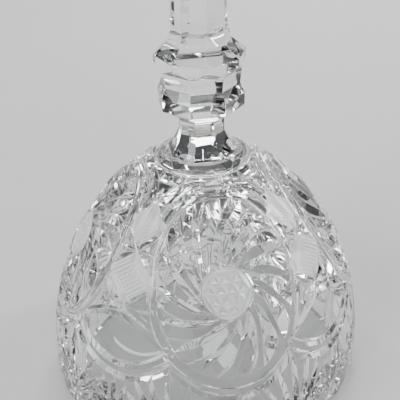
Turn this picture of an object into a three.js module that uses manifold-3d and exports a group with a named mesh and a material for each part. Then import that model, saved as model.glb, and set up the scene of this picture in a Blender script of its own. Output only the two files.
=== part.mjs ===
// Cut-crystal hand bell: a thick four-lobed bell body, a faceted stem handle stuck on its crown,
// and a crystal clapper that hangs on a short chain from a screw eye in a cemented metal cup.
// Millimetres, +Z up, origin at the centre of the rim, which is the lowest face.

import * as THREE from 'three';
import { mergeVertices } from 'three/addons/utils/BufferGeometryUtils.js';
import Module from 'manifold-3d';

const wasm = await Module();
wasm.setup();

// ---------------------------------------------------------------- driving dimensions

const GAP = 0.3; // clearance left between two touching pieces

// bell body, outside
const BODY_RADIUS = 45; // mean radius at the widest level
const BODY_LOBE = 0.028; // how far the four lobes stand out, as a share of the radius
const WIDEST_Z = 6;
const DOME_HEIGHT = 66; // from the widest level to where the dome's curve would close
const SEAT_Z = 71; // flat top of the crown that the handle stands on
const SEAT_RADIUS = 9.8;
const SEAT_BEVEL_WIDTH = 0.8;
const SEAT_BEVEL_HEIGHT = 0.6;
const LOBE_FULL_Z = 40; // the lobes stand out fully up to here
const LOBE_TOP_Z = 66; // and fade out here

// bell body, inside
const INNER_RADIUS = 38.5;
const INNER_LOBE = 0.018;
const INNER_HEIGHT = 52;
const INNER_LOBE_FULL_Z = 30;
const INNER_LOBE_TOP_Z = 50;
const CEILING_Z = 55.5;
const CEILING_RADIUS = 11;
const CEILING_BEVEL_WIDTH = 3;
const CEILING_BEVEL_HEIGHT = 1.5;
const SOCKET_RADIUS = 6.5; // socket in the crown for the metal cup
const SOCKET_TOP_Z = 62;

// swagged ridge round the body, and the scalloped rim
const RIDGE_Z = 24.5;
const RIDGE_RISE = 7.5; // how far the swags climb to their cusps
const RIDGE_COUNT = 8;
const RIDGE_HEIGHT = 0.9;
const RIDGE_HALF_WIDTH = 1.8;
const SCALLOPS = 20;
const SCALLOP_DEPTH = 1.6;
const TIP_SHARE = 0.2; // half width of a rim tip, as a share of the step between tips
const RIM_OUTER_BEVEL = 0.9;
const RIM_INNER_BEVEL = 0.6;
const COLUMNS = 4 * SCALLOPS;

// handle
const SHAFT_RADIUS = 7.2;
const HANDLE_TOP_Z = 160;
const NECK_RADIUS = 6.2;
const FOOT_RADIUS = 9.6;
const FACET_SIDES = 8;
const HALF_FACET = 180 / FACET_SIDES; // degrees

// hanging
const CAP_RADIUS = SOCKET_RADIUS - GAP;
const FLANGE_RADIUS = 8;
const FLANGE_THICKNESS = 1.2;
const EYE_RADIUS = 2; // wire centre line
const EYE_WIRE = 0.5; // wire radius
const EYE_CENTRE_Z = 51.2;
const SHANK_RADIUS = 0.8;
const LINK_COUNT = 5;
const LINK_LENGTH = 5.2; // wire centre line, top bar to bottom bar
const LINK_WIDTH = 3.2; // wire centre line
const LINK_WIRE = 0.4;

// clapper
const BEAD_RADIUS = 7.5;
const BEAD_BORE = 1.1;
const BEAD_CAP_RADIUS = 3.6;
const BEAD_CAP_HEIGHT = 1.4;
const PIN_RADIUS = 0.6;
const PIN_HEAD_RADIUS = 1.3;

// ---------------------------------------------------------------- materials

const glass = new THREE.MeshStandardMaterial({
  color: 0xe8ebe6,
  roughness: 0.05,
  metalness: 0,
  transparent: true,
  opacity: 0.4,
});
const beadGlass = new THREE.MeshStandardMaterial({
  color: 0xf0f2f2,
  roughness: 0.04,
  metalness: 0,
  transparent: true,
  opacity: 0.5,
});
const plated = new THREE.MeshStandardMaterial({ color: 0xc9c9c6, roughness: 0.25, metalness: 1 });
const cement = new THREE.MeshStandardMaterial({ color: 0xdcd8cc, roughness: 0.7, metalness: 0 });

// ---------------------------------------------------------------- helpers

const radians = THREE.MathUtils.degToRad;
const smoothstep = THREE.MathUtils.smoothstep;

// Turns a profile of [radius, z] points round the Z axis.
function turned(profile, sides, startDegrees = 0) {
  const points = profile.map(([radius, z]) => new THREE.Vector2(radius, z));
  const geometry = new THREE.LatheGeometry(points, sides, radians(startDegrees));
  geometry.rotateX(Math.PI / 2);
  return geometry;
}

function toSolid(geometry) {
  const bare = geometry.index ? geometry.toNonIndexed() : geometry.clone();
  bare.deleteAttribute('normal');
  bare.deleteAttribute('uv');
  const merged = mergeVertices(bare, 1e-5);
  const mesh = new wasm.Mesh({
    numProp: 3,
    vertProperties: new Float32Array(merged.attributes.position.array),
    triVerts: new Uint32Array(merged.index.array),
  });
  return new wasm.Manifold(mesh);
}

function toGeometry(solid) {
  const { numProp, vertProperties, triVerts } = solid.getMesh();
  const positions = new Float32Array((vertProperties.length / numProp) * 3);
  for (let i = 0; i < positions.length / 3; i += 1) {
    for (let axis = 0; axis < 3; axis += 1) {
      positions[3 * i + axis] = vertProperties[numProp * i + axis];
    }
  }
  const geometry = new THREE.BufferGeometry();
  geometry.setAttribute('position', new THREE.BufferAttribute(positions, 3));
  geometry.setIndex(Array.from(triVerts));
  geometry.computeVertexNormals();
  return geometry;
}

function named(name, geometry, material) {
  const mesh = new THREE.Mesh(geometry, material);
  mesh.name = name;
  return mesh;
}

// ---------------------------------------------------------------- bell body

// Radius of the dome's outside at a height, before the lobes.
function outerRadius(z) {
  const rise = Math.max(0, z - WIDEST_Z) / DOME_HEIGHT;
  return BODY_RADIUS * Math.sqrt(1 - rise * rise);
}

function innerRadius(z) {
  const rise = Math.max(0, z - WIDEST_Z) / INNER_HEIGHT;
  return INNER_RADIUS * Math.sqrt(1 - rise * rise);
}

// Height of the swags at an angle: an arc under each medallion and each column, cusps between.
function swag(angle) {
  const step = (2 * Math.PI) / RIDGE_COUNT;
  const across = (angle / step - Math.round(angle / step)) * 2;
  return RIDGE_RISE * across * across;
}

// Rim height at an angle: flat ground tips with a shallow scallop between each two.
function scallop(angle) {
  const turns = (angle * SCALLOPS) / (2 * Math.PI);
  const fromTip = Math.abs(turns - Math.round(turns));
  return fromTip < TIP_SHARE ? 0 : SCALLOP_DEPTH;
}

const lobe = (angle) => Math.cos(4 * angle);

// Each row of the outside: its height, how much of the swag it follows, and how far it stands out.
const OUTER_ROWS = [
  { z: 69.6 },
  { z: 68.4, out: 0.4 },
  { z: 66.4 },
  { z: 63 },
  { z: 59 },
  { z: 54 },
  { z: 48, follow: 0.15 },
  { z: 41, follow: 0.4 },
  { z: 34, follow: 0.75 },
  { z: RIDGE_Z + RIDGE_HALF_WIDTH, follow: 1 },
  { z: RIDGE_Z, follow: 1, out: RIDGE_HEIGHT },
  { z: RIDGE_Z - RIDGE_HALF_WIDTH, follow: 1 },
  { z: 15, follow: 0.5 },
  { z: 8, follow: 0.15 },
  { z: 1.8, rim: 0.6 },
];
const INNER_ROWS_Z = [1.5, 10, 20, 29, 37, 44, 50];

function outerPoint(row, angle) {
  const z = row.z + (row.follow ?? 0) * swag(angle) + (row.rim ?? 0) * scallop(angle);
  const share = 1 - smoothstep(z, LOBE_FULL_Z, LOBE_TOP_Z);
  const radius = outerRadius(z) * (1 + BODY_LOBE * share * lobe(angle)) + (row.out ?? 0);
  return [radius, z];
}

function innerPoint(rowZ, angle) {
  const share = 1 - smoothstep(rowZ, INNER_LOBE_FULL_Z, INNER_LOBE_TOP_Z);
  return [innerRadius(rowZ) * (1 + INNER_LOBE * share * lobe(angle)), rowZ];
}

function rimPoint(radius, amplitude, angle) {
  return [radius * (1 + amplitude * lobe(angle)), scallop(angle)];
}

// The whole section as functions of the angle, from the axis at the seat to the socket's top.
const SECTION = [
  () => [0, SEAT_Z],
  () => [SEAT_RADIUS, SEAT_Z],
  () => [SEAT_RADIUS + SEAT_BEVEL_WIDTH, SEAT_Z - SEAT_BEVEL_HEIGHT],
  ...OUTER_ROWS.map((row) => (angle) => outerPoint(row, angle)),
  (angle) => rimPoint(BODY_RADIUS - RIM_OUTER_BEVEL, BODY_LOBE, angle),
  (angle) => rimPoint(INNER_RADIUS + RIM_INNER_BEVEL, INNER_LOBE, angle),
  ...INNER_ROWS_Z.map((z) => (angle) => innerPoint(z, angle)),
  () => [CEILING_RADIUS + CEILING_BEVEL_WIDTH, CEILING_Z - CEILING_BEVEL_HEIGHT],
  () => [CEILING_RADIUS, CEILING_Z],
  () => [SOCKET_RADIUS, CEILING_Z],
  () => [SOCKET_RADIUS, SOCKET_TOP_Z],
  () => [0, SOCKET_TOP_Z],
];

function bellBody() {
  const halfColumn = 180 / COLUMNS;
  const blank = SECTION.map((place) => place(0));
  const geometry = turned(blank.reverse(), COLUMNS, -halfColumn);
  const section = [...SECTION].reverse();
  const position = geometry.attributes.position;
  for (let column = 0; column <= COLUMNS; column += 1) {
    const angle = (2 * Math.PI * (column % COLUMNS)) / COLUMNS - radians(halfColumn);
    section.forEach((place, row) => {
      const [radius, z] = place(angle);
      const index = column * section.length + row;
      position.setXYZ(index, radius * Math.cos(angle), radius * Math.sin(angle), z);
    });
  }
  geometry.computeVertexNormals();
  return geometry;
}

// ---------------------------------------------------------------- handle

// Two eight-sided blanks, one turned by half a facet, are cut into each other, so that their
// facets meet in zigzags as hand-cut rows do. The first has the shaft and the upper knob.
const UPPER_CUTS = [
  [0, SEAT_Z + GAP],
  [13.5, SEAT_Z + GAP],
  [13.5, 90],
  [11.9, 93.5],
  [11.9, 98.6],
  [8.1, 101.8],
  [SHAFT_RADIUS, 105],
  [SHAFT_RADIUS - 0.5, 142],
  [SHAFT_RADIUS + 0.9, 151],
  [4.4, HANDLE_TOP_Z],
  [0, HANDLE_TOP_Z],
];
// The second has the foot, the neck, the lower knob and the waist.
const LOWER_CUTS = [
  [0, SEAT_Z + GAP],
  [FOOT_RADIUS, SEAT_Z + GAP],
  [FOOT_RADIUS - 0.3, SEAT_Z + GAP + 0.7],
  [7.5, 74.4],
  [NECK_RADIUS, 77.2],
  [NECK_RADIUS, 80.8],
  [6.9, 81.8],
  [11.6, 84.9],
  [11.6, 88.3],
  [10.4, 91],
  [10.9, 95],
  [13.2, 97.4],
  [13.2, 99],
  [9, 103.4],
  [9, 146],
  [9.2, 151],
  [5.2, HANDLE_TOP_Z],
  [0, HANDLE_TOP_Z],
];

function handle() {
  const upper = toSolid(turned(UPPER_CUTS, FACET_SIDES));
  const lower = toSolid(turned(LOWER_CUTS, FACET_SIDES, HALF_FACET));
  return toGeometry(upper.intersect(lower));
}

// ---------------------------------------------------------------- hanging pieces

const FLANGE_TOP_Z = CEILING_Z - GAP;
const FLANGE_BOTTOM_Z = FLANGE_TOP_Z - FLANGE_THICKNESS;
const CUP_TOP_Z = 60.3;
const CUP_BORE_TOP_Z = 58.6;
const CUP_BEVEL = 0.6;
const FLANGE_BEVEL = 0.5;
const CUP_SIDES = 32;
const SHANK_SIDES = 16;
const SHANK_OVERLAP = 0.2; // how far a shank runs into its eye's wire

function crownCup() {
  return turned([
    [0, CUP_BORE_TOP_Z],
    [SHANK_RADIUS + GAP, CUP_BORE_TOP_Z],
    [SHANK_RADIUS + GAP, FLANGE_BOTTOM_Z],
    [FLANGE_RADIUS - FLANGE_BEVEL, FLANGE_BOTTOM_Z],
    [FLANGE_RADIUS, FLANGE_BOTTOM_Z + FLANGE_BEVEL],
    [FLANGE_RADIUS, FLANGE_TOP_Z],
    [CAP_RADIUS, FLANGE_TOP_Z],
    [CAP_RADIUS, CUP_TOP_Z - CUP_BEVEL],
    [CAP_RADIUS - CUP_BEVEL, CUP_TOP_Z],
    [0, CUP_TOP_Z],
  ], CUP_SIDES);
}

function cementPad() {
  return turned([
    [0, CUP_TOP_Z + GAP],
    [CAP_RADIUS, CUP_TOP_Z + GAP],
    [CAP_RADIUS, SOCKET_TOP_Z - GAP],
    [0, SOCKET_TOP_Z - GAP],
  ], CUP_SIDES);
}

// A wire ring that stands in the XZ plane.
function ring(centreZ) {
  const geometry = new THREE.TorusGeometry(EYE_RADIUS, EYE_WIRE, 8, 24);
  geometry.rotateX(Math.PI / 2);
  geometry.translate(0, 0, centreZ);
  return toSolid(geometry);
}

function screwEye() {
  const shank = toSolid(turned([
    [0, EYE_CENTRE_Z + EYE_RADIUS - SHANK_OVERLAP],
    [SHANK_RADIUS, EYE_CENTRE_Z + EYE_RADIUS - SHANK_OVERLAP],
    [SHANK_RADIUS, CUP_BORE_TOP_Z - GAP],
    [0, CUP_BORE_TOP_Z - GAP],
  ], SHANK_SIDES));
  return toGeometry(ring(EYE_CENTRE_Z).add(shank));
}

// One oval link: two straight sides joined by half circles.
class Oval extends THREE.Curve {
  getPoint(t, target = new THREE.Vector3()) {
    const radius = LINK_WIDTH / 2;
    const straight = LINK_LENGTH - LINK_WIDTH;
    const arc = Math.PI * radius;
    const along = (t % 1) * 2 * (arc + straight);
    if (along < arc) {
      const turn = along / radius;
      return target.set(radius * Math.cos(turn), straight / 2 + radius * Math.sin(turn), 0);
    }
    if (along < arc + straight) {
      return target.set(-radius, straight / 2 - (along - arc), 0);
    }
    if (along < 2 * arc + straight) {
      const turn = Math.PI + (along - arc - straight) / radius;
      return target.set(radius * Math.cos(turn), -straight / 2 + radius * Math.sin(turn), 0);
    }
    return target.set(radius, -straight / 2 + (along - 2 * arc - straight), 0);
  }
}

const WIRE_SIDES = 7;
const LINK_STEPS = 28;

// Sweeps the wire's section round the oval and closes it on itself. The oval is flat, so the
// section's two directions are the oval's own outward normal and the Z axis.
function linkGeometry() {
  const oval = new Oval();
  const positions = [];
  for (let step = 0; step < LINK_STEPS; step += 1) {
    const centre = oval.getPoint(step / LINK_STEPS);
    const tangent = oval.getTangent(step / LINK_STEPS);
    const outward = new THREE.Vector3(tangent.y, -tangent.x, 0);
    for (let side = 0; side < WIRE_SIDES; side += 1) {
      const turn = (2 * Math.PI * side) / WIRE_SIDES;
      const point = centre.clone().addScaledVector(outward, LINK_WIRE * Math.cos(turn));
      point.z += LINK_WIRE * Math.sin(turn);
      positions.push(point.x, point.y, point.z);
    }
  }
  const triangles = [];
  for (let step = 0; step < LINK_STEPS; step += 1) {
    const here = step * WIRE_SIDES;
    const next = ((step + 1) % LINK_STEPS) * WIRE_SIDES;
    for (let side = 0; side < WIRE_SIDES; side += 1) {
      const over = (side + 1) % WIRE_SIDES;
      triangles.push(here + side, next + side, here + over);
      triangles.push(next + side, next + over, here + over);
    }
  }
  const geometry = new THREE.BufferGeometry();
  geometry.setAttribute('position', new THREE.Float32BufferAttribute(positions, 3));
  geometry.setIndex(triangles);
  geometry.computeVertexNormals();
  geometry.rotateX(Math.PI / 2);
  return geometry;
}

// A link hangs with its top bar just above the bar that carries it.
const firstBarZ = EYE_CENTRE_Z - EYE_RADIUS;

function chain() {
  const links = [];
  let barZ = firstBarZ;
  let barWire = EYE_WIRE;
  for (let number = 1; number <= LINK_COUNT; number += 1) {
    const topBarZ = barZ + barWire + GAP + LINK_WIRE;
    const link = named(`chain_link_${number}`, linkGeometry(), plated);
    link.rotation.z = number % 2 === 1 ? Math.PI / 2 : 0;
    link.position.z = topBarZ - LINK_LENGTH / 2;
    links.push(link);
    barZ = topBarZ - LINK_LENGTH;
    barWire = LINK_WIRE;
  }
  return { links, lastBarZ: barZ };
}

// ---------------------------------------------------------------- clapper

const { links, lastBarZ } = chain();
const PIN_EYE_Z = lastBarZ + LINK_WIRE + GAP + EYE_WIRE - EYE_RADIUS;
const BEAD_CAP_TOP_Z = PIN_EYE_Z - EYE_RADIUS - EYE_WIRE - GAP;
const BEAD_FLAT = 2.6; // radius of the flat ground at each end of the bead
const BEAD_HALF_HEIGHT = 7;
const BEAD_TOP_Z = BEAD_CAP_TOP_Z - BEAD_CAP_HEIGHT - GAP;
const BEAD_Z = BEAD_TOP_Z - BEAD_HALF_HEIGHT;
const BEAD_BOTTOM_Z = BEAD_Z - BEAD_HALF_HEIGHT;
const SHOULDER = 0.78 * BEAD_RADIUS; // the bead's radius at the edge of its middle rows
const SHOULDER_RISE = 0.62 * BEAD_RADIUS;

function clapperPin() {
  const headZ = BEAD_BOTTOM_Z - GAP - BEAD_CAP_HEIGHT - GAP;
  const shank = toSolid(turned([
    [0, headZ - PIN_HEAD_RADIUS],
    [PIN_HEAD_RADIUS * 0.8, headZ - PIN_HEAD_RADIUS * 0.8],
    [PIN_HEAD_RADIUS, headZ],
    [PIN_RADIUS, headZ],
    [PIN_RADIUS, PIN_EYE_Z - EYE_RADIUS + SHANK_OVERLAP],
    [0, PIN_EYE_Z - EYE_RADIUS + SHANK_OVERLAP],
  ], SHANK_SIDES));
  return toGeometry(ring(PIN_EYE_Z).add(shank));
}

// A pressed cup with a hole for the pin. way is 1 for the top cap and -1 for the bottom one.
function beadCap(way) {
  const profile = [
    [PIN_RADIUS + GAP, 0],
    [BEAD_FLAT, 0],
    [BEAD_CAP_RADIUS * 0.8, BEAD_CAP_HEIGHT * 0.35],
    [BEAD_CAP_RADIUS * 0.55, BEAD_CAP_HEIGHT * 0.85],
    [PIN_RADIUS + 2 * GAP, BEAD_CAP_HEIGHT],
    [PIN_RADIUS + GAP, BEAD_CAP_HEIGHT],
    [PIN_RADIUS + GAP, 0],
  ];
  const geometry = turned(profile, 24);
  if (way < 0) {
    geometry.rotateX(Math.PI);
  }
  return geometry;
}

// The bead's facets meet in zigzags too: two eight-sided blanks cut into each other, then bored.
function clapperBead() {
  const rows = [
    [0, -BEAD_HALF_HEIGHT],
    [BEAD_FLAT + 0.4, -BEAD_HALF_HEIGHT],
    [SHOULDER, -SHOULDER_RISE],
    [1.03 * BEAD_RADIUS, 0],
    [SHOULDER, SHOULDER_RISE],
    [BEAD_FLAT + 0.4, BEAD_HALF_HEIGHT],
    [0, BEAD_HALF_HEIGHT],
  ];
  const bore = toSolid(turned([
    [0, -BEAD_HALF_HEIGHT - 1],
    [BEAD_BORE, -BEAD_HALF_HEIGHT - 1],
    [BEAD_BORE, BEAD_HALF_HEIGHT + 1],
    [0, BEAD_HALF_HEIGHT + 1],
  ], SHANK_SIDES));
  const first = toSolid(turned(rows, FACET_SIDES));
  const second = toSolid(turned(rows, FACET_SIDES, HALF_FACET));
  return toGeometry(first.intersect(second).subtract(bore));
}

// ---------------------------------------------------------------- assembly

const bell = new THREE.Group();
bell.name = 'crystal_bell';
bell.add(named('bell_body', bellBody(), glass));
bell.add(named('handle', handle(), glass));
bell.add(named('cement_pad', cementPad(), cement));
bell.add(named('crown_cup', crownCup(), plated));
bell.add(named('screw_eye', screwEye(), plated));
bell.add(...links);

const clapper = new THREE.Group();
const bead = named('clapper_bead', clapperBead(), beadGlass);
bead.position.z = BEAD_Z;
const topCap = named('bead_cap_top', beadCap(1), plated);
topCap.position.z = BEAD_TOP_Z + GAP;
const bottomCap = named('bead_cap_bottom', beadCap(-1), plated);
bottomCap.position.z = BEAD_BOTTOM_Z - GAP;
clapper.add(named('clapper_pin', clapperPin(), plated), topCap, bead, bottomCap);
bell.add(clapper);

export default bell;
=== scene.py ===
# %% [markdown]
# # A cut-crystal hand bell
# The bell is a thick blown and cut body, a faceted handle stuck on its crown, and a crystal bead
# that hangs inside on a short chain. The frame gives the sizes and the moving bodies. Everything
# here is the fine surface: each cut of the wheel is made as real geometry.

# %% Load the frame
import math

import bpy
from mathutils import Matrix, Vector


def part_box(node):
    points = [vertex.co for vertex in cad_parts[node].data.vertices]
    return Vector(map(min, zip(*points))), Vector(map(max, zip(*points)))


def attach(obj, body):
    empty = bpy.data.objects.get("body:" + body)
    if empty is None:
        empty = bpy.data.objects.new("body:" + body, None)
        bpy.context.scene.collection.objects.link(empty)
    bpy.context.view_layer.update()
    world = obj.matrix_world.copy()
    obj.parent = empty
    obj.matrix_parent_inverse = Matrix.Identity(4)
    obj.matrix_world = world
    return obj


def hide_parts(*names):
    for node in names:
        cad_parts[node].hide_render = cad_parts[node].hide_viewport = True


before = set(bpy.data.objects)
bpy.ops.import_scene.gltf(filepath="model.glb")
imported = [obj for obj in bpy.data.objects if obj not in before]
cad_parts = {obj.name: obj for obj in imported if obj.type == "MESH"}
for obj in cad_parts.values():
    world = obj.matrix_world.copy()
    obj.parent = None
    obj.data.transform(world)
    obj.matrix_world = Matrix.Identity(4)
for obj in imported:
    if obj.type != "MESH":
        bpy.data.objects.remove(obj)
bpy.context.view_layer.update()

MM = 0.001

# %% [markdown]
# ## Camera
# The bell is seen from close by and from above, turned a little so that the front medallion sits
# right of the handle. A close camera makes the knobs look flatter-on than the rim, so the distance
# matters as much as the angle.

# %% Camera
TURN = math.radians(-9.0)
CAMERA_DISTANCE = 0.185
CAMERA_HEIGHT = 0.168
LOOK_DOWN = math.radians(31.5)
YAW = math.radians(0.3)
ROLL = math.radians(-1.6)
LENS = 69.4
SENSOR_WIDTH = 36

camera = bpy.data.objects.new("camera", bpy.data.cameras.new("camera"))
bpy.context.scene.collection.objects.link(camera)
camera.data.lens = LENS
camera.data.sensor_width = SENSOR_WIDTH
camera.data.clip_start = 0.01
camera.data.dof.use_dof = False
camera.location = (
    CAMERA_DISTANCE * math.sin(TURN),
    -CAMERA_DISTANCE * math.cos(TURN),
    CAMERA_HEIGHT,
)
turned = Matrix.Rotation(TURN + YAW, 4, "Z") @ Matrix.Rotation(math.pi / 2 - LOOK_DOWN, 4, "X")
camera.rotation_euler = (turned @ Matrix.Rotation(ROLL, 4, "Z")).to_euler()
bpy.context.scene.camera = camera
print("camera at", tuple(round(value, 3) for value in camera.location))

# %% [markdown]
# ## Modelling helpers
# A few small functions do what a modeller does by hand: clear the selection, put a profile in the
# scene and spin it, cut one solid with another, and name the result.

# %% Helpers
def clear_selection():
    for thing in list(bpy.context.selected_objects):
        thing.select_set(False)


def activate(piece):
    clear_selection()
    piece.select_set(True)
    bpy.context.view_layer.objects.active = piece


def mesh_piece(name, points, faces, edges=()):
    mesh = bpy.data.meshes.new(name)
    mesh.from_pydata(points, list(edges), faces)
    mesh.update()
    piece = bpy.data.objects.new(name, mesh)
    bpy.context.scene.collection.objects.link(piece)
    return piece


def spun(name, profile, sides, start=0.0):
    """Spin a profile of (radius, z) points round the Z axis into a closed solid."""
    turn = Matrix.Rotation(start, 3, "Z")
    points = [turn @ Vector((radius, 0, z)) for radius, z in profile]
    edges = [(index, index + 1) for index in range(len(points) - 1)]
    piece = mesh_piece(name, points, [], edges)
    activate(piece)
    bpy.ops.object.mode_set(mode="EDIT")
    bpy.ops.mesh.select_all(action="SELECT")
    bpy.ops.mesh.spin(steps=sides, angle=2 * math.pi, center=(0, 0, 0), axis=(0, 0, 1))
    bpy.ops.mesh.select_all(action="SELECT")
    bpy.ops.mesh.remove_doubles(threshold=1e-6)
    bpy.ops.mesh.normals_make_consistent(inside=False)
    bpy.ops.object.mode_set(mode="OBJECT")
    return piece


def boolean(piece, tool, operation):
    activate(piece)
    modifier = piece.modifiers.new("cut", "BOOLEAN")
    modifier.operation = operation
    modifier.solver = "MANIFOLD"
    modifier.object = tool
    bpy.ops.object.modifier_apply(modifier=modifier.name)
    bpy.data.objects.remove(tool)


def bevelled(piece, width, segments=2, limit=8):
    activate(piece)
    modifier = piece.modifiers.new("bevel", "BEVEL")
    modifier.width = width
    modifier.segments = segments
    modifier.limit_method = "ANGLE"
    modifier.angle_limit = math.radians(limit)
    modifier.harden_normals = False
    bpy.ops.object.modifier_apply(modifier=modifier.name)


def smooth(piece, degrees):
    activate(piece)
    bpy.ops.object.shade_smooth_by_angle(angle=math.radians(degrees))


print("helpers ready")

# %% [markdown]
# ## The body's surface
# The body is a half-egg with four soft lobes, one for each medallion. The pattern is laid out on
# its surface, so first come functions that give the point and the outward direction at any angle
# and height.

# %% Body surface
BODY_RADIUS = 45 * MM
BODY_LOBE = 0.028
WIDEST_Z = 6 * MM
DOME_HEIGHT = 66 * MM
LOBE_FADE = (40 * MM, 66 * MM)
SEAT_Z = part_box("bell_body")[1][2]
SEAT_RADIUS = 9.8 * MM


def smoothstep(value, low, high):
    share = min(1.0, max(0.0, (value - low) / (high - low)))
    return share * share * (3 - 2 * share)


def outer_radius(z, angle):
    rise = min(0.9999, max(0.0, z - WIDEST_Z) / DOME_HEIGHT)
    lobe = BODY_LOBE * (1 - smoothstep(z, *LOBE_FADE)) * math.cos(4 * angle)
    return BODY_RADIUS * math.sqrt(1 - rise * rise) * (1 + lobe)


def on_body(angle, z):
    radius = outer_radius(z, angle)
    return Vector((radius * math.cos(angle), radius * math.sin(angle), z))


def outward(angle, z):
    step = 0.001
    across = on_body(angle + step, z) - on_body(angle - step, z)
    up = on_body(angle, z + step * MM) - on_body(angle, z - step * MM)
    return across.cross(up).normalized()


# Lengths along the meridian, so that a pattern keeps its size over the dome.
MERIDIAN_STEP = 0.25 * MM
meridian = [(0.0, 0.0)]
while meridian[-1][1] < SEAT_Z - MERIDIAN_STEP:
    z = meridian[-1][1] + MERIDIAN_STEP
    change = outer_radius(z, math.pi / 8) - outer_radius(z - MERIDIAN_STEP, math.pi / 8)
    meridian.append((meridian[-1][0] + math.hypot(change, MERIDIAN_STEP), z))


def length_at(z):
    index = min(len(meridian) - 1, max(0, round(z / MERIDIAN_STEP)))
    return meridian[index][0]


def height_at(length):
    low = 0
    high = len(meridian) - 1
    while high - low > 1:
        middle = (low + high) // 2
        if meridian[middle][0] <= length:
            low = middle
        else:
            high = middle
    share = (length - meridian[low][0]) / (meridian[high][0] - meridian[low][0])
    return meridian[low][1] + share * (meridian[high][1] - meridian[low][1])


def around(centre_angle, centre_z, right, up):
    """The angle and height of a point this far right and up of a centre, over the surface."""
    z = height_at(length_at(centre_z) + up)
    return centre_angle + right / outer_radius(z, centre_angle), z


print("meridian length", round(meridian[-1][0] / MM, 1), "mm")

# %% [markdown]
# ## The blank
# A cutter starts from a smooth thick blank. Its section is drawn once and spun, and the lobes are
# pushed out afterwards, because a spin alone only makes round things.

# %% Blank
INNER_RADIUS = 38.5 * MM
INNER_LOBE = 0.018
INNER_HEIGHT = 52 * MM
CEILING_Z = 55.5 * MM
CEILING_RADIUS = 11 * MM
SOCKET_RADIUS = 6.5 * MM
SOCKET_TOP_Z = 62 * MM
INNER_LOBE_FADE = (30 * MM, 50 * MM)
INNER_TOP_Z = 51 * MM
SHOULDER_Z = 69.6 * MM
BETWEEN_LOBES = math.pi / 8  # at this angle a lobe neither adds nor takes away
BLANK_SIDES = 192
BLANK_ROWS = 46
INNER_ROWS = 26
LIP = 1.2 * MM


def inner_radius(z):
    rise = max(0.0, z - WIDEST_Z) / INNER_HEIGHT
    return INNER_RADIUS * math.sqrt(1 - rise * rise)


def blank_profile():
    profile = [(0, SEAT_Z), (SEAT_RADIUS, SEAT_Z), (SEAT_RADIUS + 0.8 * MM, SEAT_Z - 0.6 * MM)]
    total = length_at(SHOULDER_Z)
    for row in range(BLANK_ROWS, 0, -1):
        z = height_at(total * row / BLANK_ROWS)
        profile.append((outer_radius(z, BETWEEN_LOBES), z))
    profile += [
        (BODY_RADIUS, LIP),
        (BODY_RADIUS - 0.35 * LIP, 0.35 * LIP),
        (BODY_RADIUS - LIP, 0),
        (INNER_RADIUS + LIP, 0),
        (INNER_RADIUS + 0.35 * LIP, 0.35 * LIP),
    ]
    for row in range(INNER_ROWS):
        rise = math.sin(math.pi / 2 * row / (INNER_ROWS - 1))
        z = LIP + (INNER_TOP_Z - LIP) * rise
        profile.append((inner_radius(z), z))
    profile += [
        (CEILING_RADIUS + 1.6 * MM, 54.6 * MM),
        (CEILING_RADIUS, CEILING_Z),
        (SOCKET_RADIUS, CEILING_Z),
        (SOCKET_RADIUS, SOCKET_TOP_Z),
        (0, SOCKET_TOP_Z),
    ]
    return profile


def add_lobes(piece):
    for vertex in piece.data.vertices:
        x, y, z = vertex.co
        radius = math.hypot(x, y)
        angle = math.atan2(y, x)
        inside_wall = inner_radius(min(z, INNER_LOBE_FADE[1]))
        if radius > 0.5 * (inside_wall + outer_radius(z, BETWEEN_LOBES)):
            amount = BODY_LOBE * (1 - smoothstep(z, *LOBE_FADE))
        else:
            amount = INNER_LOBE * (1 - smoothstep(z, *INNER_LOBE_FADE))
        factor = 1 + amount * math.cos(4 * angle)
        vertex.co.x = x * factor
        vertex.co.y = y * factor


body = spun("bell_body_cut", blank_profile(), BLANK_SIDES)
add_lobes(body)
print("blank", len(body.data.polygons), "faces")

# %% [markdown]
# ## The cutting wheel
# A wheel with a V edge bites deepest in the middle of its stroke and runs out to a point at both
# ends, which gives cut glass its leaf shapes. A stroke could be a displaced grid, but then every
# edge would be jagged, so each stroke is a solid that is subtracted. A stroke follows points on
# the surface and has a section that grows with its depth.

# %% Strokes
CLEAR = 0.35 * MM  # how far a stroke's solid stands out of the surface


def vee(depth, spread):
    """Section of a V wheel: spread is the half width per depth."""
    half = (depth + CLEAR) * spread
    return [(-half, CLEAR), (0, -depth), (half, CLEAR)]


def round_edge(depth, half_width, points=7, flare=1.08):
    """Section of a round-edged wheel that leaves a hollow flute."""
    section = [(-half_width * flare, CLEAR)]
    for index in range(points):
        turn = math.pi * index / (points - 1)
        section.append((-half_width * math.cos(turn), -depth * math.sin(turn)))
    section.append((half_width * flare, CLEAR))
    return section


def leaf(share, fullness=0.75):
    """Depth along a stroke from 0 to 1: nothing at the ends, full in the middle."""
    return max(0.0, math.sin(math.pi * share)) ** fullness


def stroke(places, sections, closed=False):
    """Points and faces of one stroke, through places of (angle, z)."""
    middles = [on_body(angle, z) for angle, z in places]
    points = []
    count = len(places)
    for index, (angle, z) in enumerate(places):
        after = middles[(index + 1) % count] if closed or index < count - 1 else middles[index]
        before = middles[index - 1] if closed or index > 0 else middles[index]
        out = outward(angle, z)
        side = (after - before).cross(out).normalized()
        for across, up in sections[index]:
            points.append(middles[index] + side * across + out * up)
    size = len(sections[0])
    faces = []
    for index in range(count if closed else count - 1):
        here = index * size
        there = ((index + 1) % count) * size
        for corner in range(size):
            next_corner = (corner + 1) % size
            faces.append((here + corner, here + next_corner, there + next_corner, there + corner))
    if not closed:
        faces.append(tuple(range(size - 1, -1, -1)))
        faces.append(tuple(range((count - 1) * size, count * size)))
    return points, faces


def between(first, second, share):
    return tuple(a + (b - a) * share for a, b in zip(first, second))


def straight(start, end, steps=9):
    return [between(start, end, step / (steps - 1)) for step in range(steps)]


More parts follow.
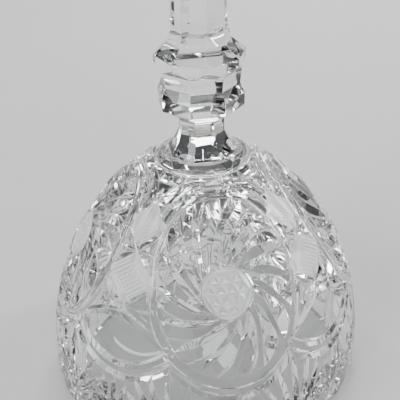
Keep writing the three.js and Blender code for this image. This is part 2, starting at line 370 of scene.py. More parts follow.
def mitre(places, depth, spread=1.3, fullness=0.75):
    last = len(places) - 1
    sections = [vee(depth * leaf(index / last, fullness), spread) for index in range(last + 1)]
    return stroke(places, sections)


QUARTER = math.pi / 2


def cut_strokes(piece, strokes, repeats=4, sets=1):
    """Cut each stroke in every quarter of the bell.

    Strokes that are sets apart in the list don't touch, so they are cut in one go.
    """
    for first in range(sets):
        all_points = []
        all_faces = []
        for points, faces in strokes[first::sets]:
            for quarter in range(repeats):
                turn = Matrix.Rotation(quarter * QUARTER, 3, "Z")
                offset = len(all_points)
                all_points += [turn @ Vector(point) for point in points]
                all_faces += [tuple(offset + index for index in face) for face in faces]
        tool = mesh_piece("strokes", all_points, all_faces)
        activate(tool)
        bpy.ops.object.mode_set(mode="EDIT")
        bpy.ops.mesh.select_all(action="SELECT")
        bpy.ops.mesh.normals_make_consistent(inside=False)
        bpy.ops.object.mode_set(mode="OBJECT")
        boolean(piece, tool, "DIFFERENCE")


print("wheel ready")

# %% [markdown]
# ## Medallions
# Each medallion is an egg-shaped ring, a hollow flute all the way round, with a whirling star
# inside it: curved blades that leave a small round hub and run out at the ring. The hub is cut
# into small florets, and a broad leaf follows each shoulder of the ring down to the column.

# %% Medallions
FRONT = -QUARTER
MEDALLION_Z = 48.5 * MM
RING_WIDTH = 20.2 * MM
RING_RISE = 25.5 * MM
RING_FALL = 23.5 * MM
RING_TAPER = 0.16
HUB_RADIUS = 6.4 * MM
BLADES = 16
BLADE_STEP = 2 * math.pi / BLADES
BLADE_SWEEP = 0.8
BLADE_DEPTH = 2.3 * MM


def egg(turn, scale=1.0):
    """Right and up distances of the ring at a turn, pointed a little at the top."""
    up = math.sin(turn)
    height = RING_RISE if up > 0 else RING_FALL
    width = RING_WIDTH * (1 - RING_TAPER * up)
    return scale * width * math.cos(turn), scale * height * up


def medallion_place(right, up):
    return around(FRONT, MEDALLION_Z, right, up)


def ring_flute(depth, half_width, steps=72):
    places = []
    for step in range(steps):
        places.append(medallion_place(*egg(2 * math.pi * step / steps)))
    return stroke(places, [round_edge(depth, half_width)] * steps, closed=True)


def swirl(start, steps=12):
    """Places on a curve that leaves the hub and leans over as it nears the ring."""
    places = []
    for step in range(steps):
        share = step / (steps - 1)
        turn = start - BLADE_SWEEP * share ** 0.75
        hub = (HUB_RADIUS * math.cos(turn), HUB_RADIUS * math.sin(turn))
        places.append(medallion_place(*between(hub, egg(turn, 0.935), share)))
    return places


def blade(number):
    """One deep blade, narrow at the hub and widest a little past the middle of its length."""
    places = swirl(number * BLADE_STEP)
    last = len(places) - 1
    sections = []
    for index in range(last + 1):
        share = index / last
        sections.append(vee(BLADE_DEPTH * leaf(share ** 1.35, 0.7), 1.35))
    return stroke(places, sections)


def blade_vein(number):
    """A fine stroke on the ridge between two blades, near the ring."""
    places = swirl((number + 0.5) * BLADE_STEP)
    return mitre(places[4:], 0.55 * MM, 1.0, 0.5)


def hub_lines(direction, spacing=2.6 * MM):
    """Parallel strokes across the hub. Three directions of them leave rows of small florets."""
    turn = math.pi * direction / 3
    along = Vector((math.cos(turn), math.sin(turn)))
    aside = Vector((-along.y, along.x))
    lines = []
    for line in range(-2, 3):
        half = math.sqrt(HUB_RADIUS ** 2 - (line * spacing) ** 2) * 0.97
        ends = [aside * line * spacing - along * half, aside * line * spacing + along * half]
        start, end = (medallion_place(*place) for place in ends)
        lines.append(mitre(straight(start, end, 7), 0.75 * MM, 1.1, 0.25))
    return lines


def hub_ring(steps=40):
    places = []
    for step in range(steps):
        turn = 2 * math.pi * step / steps
        place_on_ring = (HUB_RADIUS * math.cos(turn), HUB_RADIUS * math.sin(turn))
        places.append(medallion_place(*place_on_ring))
    return stroke(places, [vee(0.45 * MM, 1.1)] * steps, closed=True)


def shoulder_leaf(side, steps=14):
    """A broad hollow leaf that leaves the top of the ring and follows it down to the column."""
    places = []
    sections = []
    for step in range(steps):
        share = step / (steps - 1)
        right, up = egg(math.radians(86 - 64 * share), 1.14)
        places.append(medallion_place(side * right, up))
        size = leaf(share)
        sections.append(round_edge((0.05 + 0.8 * size) * MM, (0.3 + 1.6 * size) * MM))
    return stroke(places, sections)


cut_strokes(body, [blade(number) for number in range(BLADES)], sets=4)
cut_strokes(body, [blade_vein(number) for number in range(BLADES)], sets=2)
for direction in range(3):
    cut_strokes(body, hub_lines(direction))
cut_strokes(body, [hub_ring()])
cut_strokes(body, [ring_flute(0.8 * MM, 1.5 * MM)])
cut_strokes(body, [shoulder_leaf(1), shoulder_leaf(-1)], sets=2)
print("medallions", len(body.data.polygons), "faces")

# %% [markdown]
# ## Columns of stars and hatched diamonds
# Between two medallions a column of three stars holds two diamonds. The diamonds are hatched both
# ways with fine strokes, which leaves rows of tiny points. The strokes of one direction run side
# by side, so they are laid out by one share along each edge of the diamond.

# %% Columns
COLUMN = FRONT + QUARTER / 2
STARS = (64.5 * MM, 54.7 * MM, 41.5 * MM)
DIAMOND_WIDTHS = (6.4 * MM, 8.8 * MM)
HATCH_LINES = 10
HATCH_INSET = 0.1
STAR_REACHES = (7.5 * MM, 8.5 * MM, 6.5 * MM)
STAR_HEIGHT = 4.4 * MM


def diamond(number):
    """Corners of a diamond as (right, up) from its middle height: top, right, bottom, left."""
    top = length_at(STARS[number])
    bottom = length_at(STARS[number + 1])
    half = (top - bottom) / 2
    width = DIAMOND_WIDTHS[number]
    middle = height_at(bottom + half)
    return middle, [(0, half), (width, 0), (0, -half), (-width, 0)]


def diamond_line(middle, start, end, depth, spread, fullness=0.75, steps=7):
    places = []
    for step in range(steps):
        places.append(around(COLUMN, middle, *between(start, end, step / (steps - 1))))
    return mitre(places, depth, spread, fullness)


def diamond_edges(number):
    middle, corners = diamond(number)
    lines = []
    for index in range(4):
        start, end = corners[index], corners[(index + 1) % 4]
        lines.append(diamond_line(middle, start, end, 0.95 * MM, 1.25, 0.6))
    return lines


def hatching(number):
    middle, (top, right, bottom, left) = diamond(number)
    lines = []
    for index in range(HATCH_LINES):
        share = HATCH_INSET + (1 - 2 * HATCH_INSET) * index / (HATCH_LINES - 1)
        first = between(left, top, share), between(bottom, right, share)
        second = between(top, right, share), between(left, bottom, share)
        for start, end in (first, second):
            inset = between(start, end, HATCH_INSET), between(start, end, 1 - HATCH_INSET)
            lines.append(diamond_line(middle, *inset, 0.4 * MM, 1.1, 0.3, 5))
    return lines


def star(number):
    """The long strokes of one star: up and down, and out to the rings on both sides."""
    z = STARS[number]
    reach = STAR_REACHES[number]
    lines = [((0, STAR_HEIGHT), (0, -STAR_HEIGHT)), ((-reach, 0), (reach, 0))]
    lines.append(((-3.6 * MM, 3.4 * MM), (3.6 * MM, -3.4 * MM)))
    lines.append(((3.6 * MM, 3.4 * MM), (-3.6 * MM, -3.4 * MM)))
    return [diamond_line(z, start, end, 0.9 * MM, 1.2, 0.6) for start, end in lines]


for number in range(2):
    cut_strokes(body, hatching(number), sets=4)
    cut_strokes(body, diamond_edges(number), sets=4)
for number in range(3):
    cut_strokes(body, star(number), sets=4)
print("columns", len(body.data.polygons), "faces")

# %% [markdown]
# ## Windows, swags and fans
# Below each column is a clear lens-shaped window. A double line swings in swags under windows and
# medallions alike, and fans of strokes fill the border under it. Each swag is an arc of height
# against angle with its cusps an eighth of a turn apart.

# %% Border
SWAG_Z = 24.5 * MM
SWAG_RISE = 7.5 * MM
SWAG_STEP = QUARTER / 2
SWAG_GAP = 1.9 * MM
WINDOW_Z = 33.2 * MM
WINDOW_RISE = 6.4 * MM


def swag_z(angle):
    turns = (angle - FRONT) / SWAG_STEP
    across = 2 * (turns - round(turns))
    return SWAG_Z + SWAG_RISE * across * across


def swag_line(offset, depth, spread, steps=240):
    angles = [2 * math.pi * step / steps for step in range(steps)]
    places = [(angle, swag_z(angle) + offset) for angle in angles]
    return stroke(places, [vee(depth, spread)] * steps, closed=True)


def window_arc():
    half = SWAG_STEP / 2
    places = []
    for step in range(15):
        across = 2 * step / 14 - 1
        places.append((COLUMN + across * half * 0.96, WINDOW_Z + WINDOW_RISE * (1 - across ** 2)))
    return mitre(places, 1.0 * MM, 1.4, 0.4)


FAN_RAYS = 9
FAN_ROOT_Z = 4.5 * MM
FAN_REACH = 25 * MM
SMALL_FAN_REACH = 17 * MM
FAN_LEAN = 56  # degrees, of the outermost rays
FAN_START = 0.14  # share of a ray left uncut at the root


def fan(middle, reach):
    """Rays that spread from a root near the rim, each a leaf that ends under the swag."""
    rays = []
    for ray in range(FAN_RAYS):
        lean = math.radians(FAN_LEAN * (2 * ray / (FAN_RAYS - 1) - 1))
        length = reach * math.cos(lean) ** 0.8
        places = []
        for step in range(8):
            along = (FAN_START + (1 - FAN_START) * step / 7) * length
            right = along * math.sin(lean)
            up = along * math.cos(lean)
            places.append(around(middle, FAN_ROOT_Z, right, up))
        rays.append(mitre(places, 1.1 * MM, 1.1, 0.45))
    return rays


swags = [swag_line(SWAG_GAP, 0.75 * MM, 1.5), swag_line(-SWAG_GAP, 0.9 * MM, 1.3)]
cut_strokes(body, swags, repeats=1)
cut_strokes(body, [window_arc()])
for eighth in range(4):
    reach = SMALL_FAN_REACH if eighth % 2 == 0 else FAN_REACH
    cut_strokes(body, fan(FRONT + eighth * SWAG_STEP / 2, reach), sets=FAN_RAYS)
print("border", len(body.data.polygons), "faces")

# %% [markdown]
# ## Crown and rim
# The crown has fine rings round the handle's seat and a wreath of leaf cuts. The rim is cut into
# scallops, and the flat ground tips left between them are what the bell stands on.

# %% Crown and rim
SCALLOPS = 20
SCALLOP_RADIUS = 7.4 * MM
SCALLOP_DEPTH = 1.6 * MM
RIM_MIDDLE = 42 * MM


def crown_ring(z, depth, steps=96):
    places = [(2 * math.pi * step / steps, z) for step in range(steps)]
    return stroke(places, [vee(depth, 1.4)] * steps, closed=True)


def wreath():
    leaves = []
    for way in (-1, 1):
        start = (FRONT + way * math.radians(5), 67.2 * MM)
        end = (FRONT + way * math.radians(41), 65.0 * MM)
        leaves.append(mitre(straight(start, end), 0.9 * MM, 1.4, 0.7))
    for tick in range(4):
        angle = FRONT + QUARTER * (tick + 0.5) / 4
        leaves.append(mitre(straight((angle, 69.3 * MM), (angle, 67.0 * MM), 5), 0.6 * MM, 1.4))
    return leaves


def rim_scallops(piece):
    clear_selection()
    for number in range(SCALLOPS):
        angle = 2 * math.pi * (number + 0.5) / SCALLOPS
        bpy.ops.mesh.primitive_cylinder_add(
            vertices=48,
            radius=SCALLOP_RADIUS,
            depth=16 * MM,
            location=(
                RIM_MIDDLE * math.cos(angle),
                RIM_MIDDLE * math.sin(angle),
                SCALLOP_DEPTH - SCALLOP_RADIUS,
            ),
            rotation=(0, math.pi / 2, angle),
        )
        boolean(piece, bpy.context.active_object, "DIFFERENCE")


def rim_flutes():
    flutes = []
    for number in range(SCALLOPS // 4):
        angle = 2 * math.pi * (number + 0.5) / SCALLOPS
        places = [(angle, (-1 + 1.5 * step) * MM) for step in range(7)]
        depths = [1.15 * MM * (1 - step / 7.5) for step in range(7)]
        sections = [round_edge(depth, 2.4 * MM + 1.6 * depth) for depth in depths]
        flutes.append(stroke(places, sections))
    return flutes


cut_strokes(body, [crown_ring(69.3 * MM, 0.3 * MM), crown_ring(67.9 * MM, 0.4 * MM)], repeats=1)
cut_strokes(body, wreath(), sets=6)
cut_strokes(body, rim_flutes())
rim_scallops(body)
print("crown and rim", len(body.data.polygons), "faces")

# %% [markdown]
# ## Matt patches
# The hatched diamonds and the hub of each whirling star are left matt by the fine wheel. A face
# attribute marks them, so that the finish can follow the cutting exactly.

# %% Matt patches
MATT_TOP_Z = 66 * MM
DEEPEST_CUT = 2.2 * MM
DIAMOND_SHARE = 0.93
HUB_MATT = 0.7


def quarter_offset(angle, centre):
    turns = (angle - centre) / QUARTER
    return (turns - round(turns)) * QUARTER


def matt_share(point):
    radius = math.hypot(point.x, point.y)
    angle = math.atan2(point.y, point.x)
    surface = outer_radius(point.z, angle)
    if point.z > MATT_TOP_Z or radius < surface - DEEPEST_CUT:
        return 0.0
    for number in range(2):
        middle, corners = diamond(number)
        right = quarter_offset(angle, COLUMN) * surface
        up = length_at(point.z) - length_at(middle)
        if abs(right) / corners[1][0] + abs(up) / corners[0][1] < DIAMOND_SHARE:
            return 1.0
    right = quarter_offset(angle, FRONT) * surface
    up = length_at(point.z) - length_at(MEDALLION_Z)
    return HUB_MATT if math.hypot(right, up) < HUB_RADIUS else 0.0


def mark_matt(piece):
    shares = [matt_share(face.center) for face in piece.data.polygons]
    attribute = piece.data.attributes.new("matt", "FLOAT", "FACE")
    attribute.data.foreach_set("value", shares)
    return sum(1 for share in shares if share)


print("matt faces", mark_matt(body))
smooth(body, 25)

# %% [markdown]
# ## Handle
# The handle is pressed roughly and then cut flat by flat. Two eight-sided solids, one turned by
# half a facet, are cut into each other, so their flats meet in the zigzags of real cutting. A very
# narrow bevel stands for the polished edges, which are what catches the light.

# %% Handle
FLATS = 8
HALF_FLAT = math.pi / FLATS
HANDLE_FOOT_Z, HANDLE_TOP_Z = (corner[2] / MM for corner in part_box("handle"))
UPPER_CUTS = [
    (0, HANDLE_FOOT_Z), (13.5, HANDLE_FOOT_Z), (13.5, 90), (11.9, 93.5), (11.9, 98.6),
    (8.1, 101.8), (7.2, 105), (6.7, 142), (8.1, 151), (4.4, HANDLE_TOP_Z), (0, HANDLE_TOP_Z),
]
LOWER_CUTS = [
    (0, HANDLE_FOOT_Z), (9.6, HANDLE_FOOT_Z), (9.3, HANDLE_FOOT_Z + 0.7), (7.5, 74.4),
    (6.2, 77.2), (6.2, 80.8), (6.9, 81.8), (11.6, 84.9), (11.6, 88.3), (10.4, 91), (10.9, 95),
    (13.2, 97.4), (13.2, 99), (9, 103.4), (9, 146), (9.2, 151), (5.2, HANDLE_TOP_Z),
    (0, HANDLE_TOP_Z),
]


def in_metres(profile):
    return [(radius * MM, z * MM) for radius, z in profile]


handle = spun("handle_cut", in_metres(UPPER_CUTS), FLATS)
boolean(handle, spun("lower_cuts", in_metres(LOWER_CUTS), FLATS, HALF_FLAT), "INTERSECT")
bevelled(handle, 0.16 * MM)
smooth(handle, 12)
print("handle", len(handle.data.polygons), "faces")

# %% [markdown]
# ## Chain and eyes
# The links are bent from plated wire: a ring, stretched into an oval by moving one half of it
# away from the other. Each takes its place and its plane from the frame's box of that link.

# %% Chain
LINK_WIRE = 0.4 * MM


def wire_oval(name, length, width, wire):
    """An oval in the XZ plane. length and width are those of the wire's centre line."""
    clear_selection()
    bpy.ops.mesh.primitive_torus_add(
        major_radius=width / 2, minor_radius=wire, major_segments=48, minor_segments=16,
        rotation=(math.pi / 2, 0, 0),
    )
    oval = bpy.context.active_object
    oval.name = name
    bpy.ops.object.transform_apply(location=True, rotation=True, scale=True)
    stretch = (length - width) / 2
    for vertex in oval.data.vertices:
        if abs(vertex.co.z) > 1e-7:
            vertex.co.z += math.copysign(stretch, vertex.co.z)
    return oval


def link(number):
    low, high = (Vector(corner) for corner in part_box(f"chain_link_{number}"))
    size = high - low
    flat = min(size.x, size.y)
    piece = wire_oval(
        f"link_{number}_wire", size.z - flat, max(size.x, size.y) - flat, LINK_WIRE)
    if size.x < size.y:
        piece.data.transform(Matrix.Rotation(math.pi / 2, 4, "Z"))
    piece.data.transform(Matrix.Translation((low + high) / 2))
    smooth(piece, 60)
    return piece


LINK_COUNT = 5
links = [link(number) for number in range(1, LINK_COUNT + 1)]
print("links", len(links))

# %% [markdown]
# ## Eyes
# The screw eye and the clapper's pin are each a closed ring of heavier wire on a turned shank. The
# screw eye's ring is at the bottom of its shank and the pin's is at the top.

# %% Eyes
EYE_WIRE = 0.5 * MM
EYE_RING = 5 * MM
EYE_OVERLAP = 0.7 * MM  # how far a shank reaches into its ring, from the ring's outside


def eye_with_shank(name, node, shank):
    """A wire ring at one end of a turned shank, joined into one solid."""
    low, high = (Vector(corner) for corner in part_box(node))
    ring_size = high.x - low.x
    bottom_centre = low.z + ring_size / 2
    top_centre = high.z - ring_size / 2
    centre_z = bottom_centre if shank[0][1] > bottom_centre else top_centre
    ring = wire_oval(name, ring_size - 2 * EYE_WIRE, ring_size - 2 * EYE_WIRE, EYE_WIRE)
    ring.data.transform(Matrix.Translation((0, 0, centre_z)))
    boolean(ring, spun("shank", shank, 24), "UNION")
    smooth(ring, 40)
    return ring


eye_low, eye_high = (corner[2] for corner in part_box("screw_eye"))
THREAD_PITCH = 0.8 * MM
THREAD_RADIUS = 0.8 * MM
THREAD_ROOT = 0.62 * MM


def screw_shank():
    """A shank with the ridges of its thread."""
    bottom = eye_low + EYE_RING - EYE_OVERLAP
    z = bottom + THREAD_PITCH
    profile = [(0, bottom), (THREAD_RADIUS, bottom), (THREAD_RADIUS, z)]
    while z < eye_high - THREAD_PITCH:
        profile.append((THREAD_ROOT, z + 0.35 * THREAD_PITCH))
        profile.append((THREAD_RADIUS, z + 0.9 * THREAD_PITCH))
        z += THREAD_PITCH
    return profile + [(0.5 * MM, eye_high), (0, eye_high)]


screw_eye = eye_with_shank("screw_eye_wire", "screw_eye", screw_shank())

pin_low, pin_high = (corner[2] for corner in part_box("clapper_pin"))
PIN_HEAD = 1.3 * MM
PIN_SHANK = 0.6 * MM


def pin_shank():
    head_z = pin_low + PIN_HEAD
    profile = [(0, pin_low)]
    for step in range(1, 6):
        turn = math.pi / 2 * step / 5
        profile.append((PIN_HEAD * math.sin(turn), head_z - PIN_HEAD * math.cos(turn)))
    top = pin_high - EYE_RING + EYE_OVERLAP
    return profile + [(PIN_SHANK, head_z), (PIN_SHANK, top), (0, top)]


clapper_pin = eye_with_shank("clapper_pin_wire", "clapper_pin", pin_shank())
print("eyes ready")

# %% [markdown]
# ## Cup and bead caps
# The cup has a shallow ring pressed into its flange. The caps on the bead are thin pressings with
# eight petals.

# %% Cup and caps
FLANGE_THICKNESS = 1.2 * MM
CUP_ROOF = 1.7 * MM  # metal left above the screw eye's hole
PETALS = 8
NIP_RADIUS = 0.55 * MM


def cup():
    low, high = (corner[2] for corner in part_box("crown_cup"))
    flange_top = low + FLANGE_THICKNESS
    bore_top = high - CUP_ROOF
    profile = [
        (0, bore_top), (1.1 * MM, bore_top), (1.1 * MM, low + 0.2 * MM), (1.4 * MM, low),
        (3 * MM, low), (3.3 * MM, low + 0.3 * MM), (4.4 * MM, low + 0.3 * MM),
        (4.8 * MM, low), (7.4 * MM, low), (7.8 * MM, low + 0.2 * MM), (8 * MM, low + 0.6 * MM),
        (7.8 * MM, flange_top), (6.2 * MM, flange_top), (6.2 * MM, high - 0.6 * MM),
        (5.6 * MM, high), (0, high),
    ]
    piece = spun("crown_cup_turned", profile, 64)
    smooth(piece, 35)
    return piece


def bead_cap(node, way):
    """A pressed cap with petals: a domed disc whose edge is nipped in by round cutters."""
    low, high = (Vector(corner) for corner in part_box(node))
    height = high.z - low.z
    radius = (high.x - low.x) / 2
    base = low.z if way > 0 else high.z
    shape = [
        (0.95 * MM, 0), (2.6 * MM, 0), (radius, 0.35 * height), (0.9 * radius, 0.62 * height),
        (0.62 * radius, 0.9 * height), (1.25 * MM, height), (0.95 * MM, height), (0.95 * MM, 0),
    ]
    piece = spun(f"{node}_pressed", [(r, base + way * z) for r, z in shape], 48)
    reach = 1.06 * radius
    for petal in range(PETALS):
        angle = 2 * math.pi * (petal + 0.5) / PETALS
        bpy.ops.mesh.primitive_cylinder_add(
            vertices=20, radius=NIP_RADIUS, depth=6 * MM,
            location=(reach * math.cos(angle), reach * math.sin(angle), base),
        )
        boolean(piece, bpy.context.active_object, "DIFFERENCE")
    smooth(piece, 35)
    return piece


crown_cup = cup()
bead_cap_top = bead_cap("bead_cap_top", 1)
bead_cap_bottom = bead_cap("bead_cap_bottom", -1)
print("cup and caps ready")

# %% [markdown]
# ## Clapper bead
# The bead is cut like the handle, from two eight-sided solids, then bored for its pin.

# %% Bead
BEAD_BORE = 1.1 * MM
BEAD_RADIUS = 7.5 * MM
BEAD_FLAT = 3 * MM
SHOULDER = 0.78 * BEAD_RADIUS
SHOULDER_RISE = 0.62 * BEAD_RADIUS


def clapper_bead():
    low, high = (Vector(corner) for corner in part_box("clapper_bead"))
    middle = (low.z + high.z) / 2
    half = (high.z - low.z) / 2
    rows = [
        (0, -half), (BEAD_FLAT, -half), (SHOULDER, -SHOULDER_RISE), (1.03 * BEAD_RADIUS, 0),
        (SHOULDER, SHOULDER_RISE), (BEAD_FLAT, half), (0, half),
    ]
    rows = [(r, middle + z) for r, z in rows]
    piece = spun("clapper_bead_cut", rows, FLATS)
    boolean(piece, spun("second_cut", rows, FLATS, HALF_FLAT), "INTERSECT")
    bevelled(piece, 0.12 * MM)
    bore = [(0, low.z - MM), (BEAD_BORE, low.z - MM), (BEAD_BORE, high.z + MM), (0, high.z + MM)]
    boolean(piece, spun("bore", bore, 32), "DIFFERENCE")
    smooth(piece, 12)
    return piece


bead = clapper_bead()
print("bead", len(bead.data.polygons), "faces")

# %% [markdown]
# ## Shader expressions
# Cut glass needs masks that are sums and products of others. A small class lets those be written
# as plain expressions, and one method adds every other kind of node.

# %% Shader expressions
class Term:
    """A socket's value that can be added, subtracted from and multiplied in an expression."""

    def __init__(self, tree, socket):
        self.tree = tree
        self.socket = socket

    def maths(self, operation, other):
        node = self.tree.nodes.new("ShaderNodeMath")
        node.operation = operation
        for slot, value in zip(node.inputs, (self, other)):
            if isinstance(value, Term):
                self.tree.links.new(value.socket, slot)
            else:
                slot.default_value = value
        return Term(self.tree, node.outputs[0])

    def __add__(self, other):
        return self.maths("ADD", other)

    def __mul__(self, other):
        return self.maths("MULTIPLY", other)

    def __rsub__(self, other):
        return (self * -1) + other

    __radd__ = __add__
    __rmul__ = __mul__


class Finish:
    """A node material with one Principled shader."""

    def __init__(self, name, **uniform):
        self.material = bpy.data.materials.new(name)
        self.material.use_nodes = True
        self.tree = self.material.node_tree
        self.shader = self.tree.nodes["Principled BSDF"]
        for socket, value in uniform.items():
            self.shader.inputs[socket.replace("_", " ")].default_value = value

    def node(self, kind, settings=None, inputs=None, output=0):
        node = self.tree.nodes.new(kind)
        for name, value in (settings or {}).items():
            if name == "stops":
                self.set_stops(node.color_ramp, value)
            else:
                setattr(node, name, value)
        for name, value in (inputs or {}).items():
            if isinstance(value, Term):
                self.tree.links.new(value.socket, node.inputs[name])
            else:
                node.inputs[name].default_value = value
        return Term(self.tree, node.outputs[output])

    def set_stops(self, ramp, stops):
        while len(ramp.elements) < len(stops):
            ramp.elements.new(0.5)
        for element, (position, color) in zip(ramp.elements, stops):
            element.position = position
            element.color = (*color, 1)

    def feed(self, **links):
        for socket, term in links.items():
            self.tree.links.new(term.socket, self.shader.inputs[socket.replace("_", " ")])

    def blend(self, share, **uniform):
        """Mix in a second shader, by a share that varies over the surface."""
        inputs = {socket.replace("_", " "): value for socket, value in uniform.items()}
        other = self.node("ShaderNodeBsdfPrincipled", inputs=inputs)
        first = Term(self.tree, self.shader.outputs[0])
        mix = self.node("ShaderNodeMixShader", inputs={0: share, 1: first, 2: other})
        self.tree.links.new(mix.socket, self.tree.nodes["Material Output"].inputs["Surface"])

    def place(self):
        return self.node("ShaderNodeTexCoord", output=3)

    def noise(self, scale, detail):
        inputs = {"Vector": self.place(), "Scale": scale, "Detail": detail}
        return self.node("ShaderNodeTexNoise", inputs=inputs)


print("shader helpers ready")

# %% [markdown]
# ## Crystal
# Lead crystal is clear with a trace of grey-green, bends light more than window glass, and its
# surface is fire-polished: not optically flat, but with faint waves. The hatched patches are left
# matt. The matt share comes from a face attribute that is set where the patches are cut. Ridges are
# never left perfectly sharp: polishing rounds them, and the rounded normal shades each edge. The
# thin bright line along each ridge is a painted highlight, a pale opaque shader mixed in over the
# edge.

# %% Crystal finish
CRYSTAL_INDEX = 1.54
RIDGE_ROUNDING = 0.2 * MM
# Pale colour of the mixed-in shader: real frost on the matt patches, painted highlight on ridges.
PALE_FROST_AND_GLINT = (0.86, 0.87, 0.86, 1)
MATT_ROUGHNESS = 0.42
MATT_WHITENESS = 0.4


def crystal(name, frosted, painted_ridge_glint):
    finish = Finish(name, Transmission_Weight=1.0, IOR=CRYSTAL_INDEX)
    waves = finish.noise(90, 2)
    cloud = finish.noise(45, 3)
    tint = finish.node(
        "ShaderNodeValToRGB",
        {"stops": [(0.3, (0.93, 0.95, 0.94)), (0.7, (0.985, 0.985, 0.98))]},
        {"Fac": cloud},
    )
    rounded = finish.node("ShaderNodeBevel", {"samples": 6}, {"Radius": RIDGE_ROUNDING})
    sharp = finish.node("ShaderNodeNewGeometry", output=1)
    dot = {"operation": "DOT_PRODUCT"}
    same = finish.node("ShaderNodeVectorMath", dot, {0: rounded, 1: sharp}, 1)
    ridge = 1 - finish.node("ShaderNodeMath", {"operation": "ABSOLUTE"}, {0: same})
    rough = cloud * 0.02 + 0.005
    # Painted highlight: a pale shader is mixed in along each rounded ridge as its glint.
    painted_glint_and_frost = ridge * painted_ridge_glint
    if frosted:
        matt = finish.node("ShaderNodeAttribute", {"attribute_name": "matt"}, output=2)
        rough = rough + matt * MATT_ROUGHNESS
        painted_glint_and_frost = painted_glint_and_frost * (1 - matt) + matt * MATT_WHITENESS
    finish.blend(painted_glint_and_frost, Base_Color=PALE_FROST_AND_GLINT, Roughness=0.55)
    bump = finish.node(
        "ShaderNodeBump",
        inputs={"Height": waves, "Strength": 0.12, "Distance": 0.0006, "Normal": rounded},
    )
    finish.feed(Base_Color=tint, Roughness=rough, Normal=bump)
    return finish.material


# The last number sets the strength of the painted ridge highlight.
body_crystal = crystal("body crystal", True, 4)
handle_crystal = crystal("handle crystal", False, 2)
bead_crystal = crystal("bead crystal", False, 2)
print("crystal ready")

# %% [markdown]
# ## Plated metal and cement
# The wire is bright nickel plate. It is not a mirror: handling dulls it in clouds, and it has
# darker spots where the plate has gone thin. The cement is pale, grainy and matt.

# %% Metal and cement finishes
def plated(name):
    finish = Finish(name, Metallic=1.0)
    cloud = finish.noise(400, 3)
    color = finish.node(
        "ShaderNodeValToRGB",
        {"stops": [(0.3, (0.52, 0.5, 0.46)), (0.6, (0.76, 0.75, 0.73))]},
        {"Fac": cloud},
    )
    grain = finish.node(
        "ShaderNodeBump",
        inputs={"Height": finish.noise(1800, 2), "Strength": 0.15, "Distance": 0.0001},
    )
    finish.feed(Base_Color=color, Roughness=cloud * 0.25 + 0.1, Normal=grain)
    return finish.material


def cement_finish():
    finish = Finish("pale cement")
    grains = finish.noise(900, 4)
    color = finish.node(
        "ShaderNodeValToRGB",
        {"stops": [(0.3, (0.62, 0.6, 0.54)), (0.7, (0.8, 0.79, 0.74))]},
        {"Fac": grains},
    )
    grain = finish.node(
        "ShaderNodeBump", inputs={"Height": grains, "Strength": 0.4, "Distance": 0.0002})
    finish.feed(Base_Color=color, Roughness=grains * 0.3 + 0.55, Normal=grain)
    return finish.material


wire_plate = plated("plated wire")
cup_plate = plated("plated cup")
cement = cement_finish()
print("metal and cement ready")

# %% [markdown]
# ## Put the pieces on their bodies
# Each fine piece stands for one node of the frame and rides on that node's body.

# %% Bodies
def place(piece, node, body_name, slot, material):
    piece.data.materials.clear()
    piece.data.materials.append(material)
    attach(piece, body_name)
    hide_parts(node)


place(body, "bell_body", "bell", "crystal", body_crystal)
place(handle, "handle", "bell", "crystal", handle_crystal)
place(crown_cup, "crown_cup", "bell", "plated_metal", cup_plate)
place(screw_eye, "screw_eye", "bell", "plated_metal", wire_plate)
for number, piece in enumerate(links, 1):
    place(piece, f"chain_link_{number}", f"link_{number}", "plated_metal", wire_plate)
place(clapper_pin, "clapper_pin", "pin", "plated_metal", wire_plate)
place(bead_cap_top, "bead_cap_top", "pin", "plated_metal", cup_plate)
place(bead_cap_bottom, "bead_cap_bottom", "pin", "plated_metal", cup_plate)
place(bead, "clapper_bead", "bead", "bead_crystal", bead_crystal)
cement_pad = bpy.data.objects["cement_pad"]
cement_pad.data.materials.clear()
cement_pad.data.materials.append(cement)
print("pieces placed")

# %% [markdown]
# ## Floor
# A plain pale floor, wide enough that its edge stays far behind the bell from any side.

# %% Floor
FLOOR_SIZE = 6
FLOOR_Z = -0.1 * MM  # a hair under the rim, so that the two faces don't coincide


def studio_floor():
    clear_selection()
    bpy.ops.mesh.primitive_plane_add(size=FLOOR_SIZE, location=(0, 0, FLOOR_Z))
    floor = bpy.context.active_object
    floor.name = "studio_floor"
    finish = Finish("pale floor", Roughness=0.75)
    shade = finish.node(
        "ShaderNodeValToRGB",
        {"stops": [(0.35, (0.37, 0.37, 0.375)), (0.65, (0.41, 0.41, 0.41))]},
        {"Fac": finish.noise(3, 2)},
    )
    finish.feed(Base_Color=shade)
    floor.data.materials.append(finish.material)
    return floor


floor = studio_floor()
print("floor", tuple(round(value, 1) for value in floor.dimensions))

# %% [markdown]
# ## Lights
# Glass shows what stands around it, so broad panels at different heights, with darker gaps between,
# give each facet its own grey. A ring of thin bright strips puts a crisp line into every facet that
# faces one of them. A very soft sky lights the far floor as well as the near.

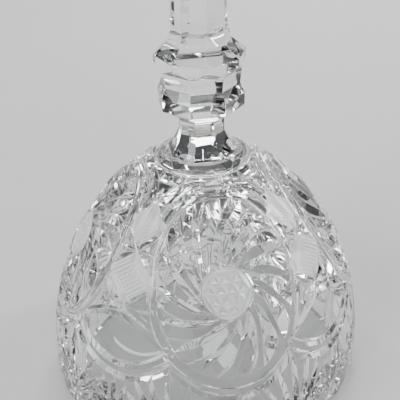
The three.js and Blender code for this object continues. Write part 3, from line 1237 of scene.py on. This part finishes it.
# %% Lights
STRIPS = 7
STRIP_WATTS = 2.4
STRIP_DISTANCE = 0.8
COOL = (0.95, 0.98, 1.0)
WHITE = (1.0, 1.0, 1.0)
WARM = (1.0, 0.965, 0.93)
SKY_STRENGTH = 1.0
SKY_SPREAD = math.radians(60)
LIT_POINT = Vector((0, 0, 0.07))
HAZE = (0.36, 0.36, 0.37, 1)
DARK = (0.085, 0.087, 0.092, 1)


def panel(name, place, size, watts, color=WHITE):
    light = bpy.data.objects.new(name, bpy.data.lights.new(name, "AREA"))
    bpy.context.scene.collection.objects.link(light)
    light.data.shape = "RECTANGLE"
    light.data.size, light.data.size_y = size
    light.data.energy = watts
    light.data.color = color
    light.location = place
    light.rotation_euler = (LIT_POINT - Vector(place)).to_track_quat("-Z", "Y").to_euler()


panel("left window", (-0.9, -0.35, 0.6), (0.35, 0.8), 9, COOL)
panel("right card", (0.85, 0.25, 0.45), (0.22, 0.7), 6)
panel("ceiling", (0.1, 0.2, 1.2), (0.5, 0.3), 6)
panel("back strip", (0.15, 1.0, 0.4), (0.8, 0.16), 6)

sky = bpy.data.objects.new("sky", bpy.data.lights.new("sky", "SUN"))
sky.data.energy = SKY_STRENGTH
sky.data.angle = SKY_SPREAD
bpy.context.scene.collection.objects.link(sky)

for number in range(STRIPS):
    turn = 2 * math.pi * (number + 0.35) / STRIPS
    height = 0.35 + 0.55 * (number % 3) / 2
    spot = (STRIP_DISTANCE * math.cos(turn), STRIP_DISTANCE * math.sin(turn), height)
    panel(f"strip {number}", spot, (0.02, 0.4), STRIP_WATTS, WARM if number % 2 else WHITE)


def room():
    """A dark room with a pale haze near the floor's horizon."""
    world = bpy.data.worlds.new("room")
    world.use_nodes = True
    tree = world.node_tree
    place = tree.nodes.new("ShaderNodeTexCoord")
    split = tree.nodes.new("ShaderNodeSeparateXYZ")
    ramp = tree.nodes.new("ShaderNodeValToRGB")
    ramp.color_ramp.elements[0].position = 0.10
    ramp.color_ramp.elements[0].color = HAZE
    ramp.color_ramp.elements[1].position = 0.32
    ramp.color_ramp.elements[1].color = DARK
    tree.links.new(place.outputs["Generated"], split.inputs[0])
    tree.links.new(split.outputs["Z"], ramp.inputs[0])
    tree.links.new(ramp.outputs[0], tree.nodes["Background"].inputs["Color"])
    bpy.context.scene.world = world


room()
print("lights ready")
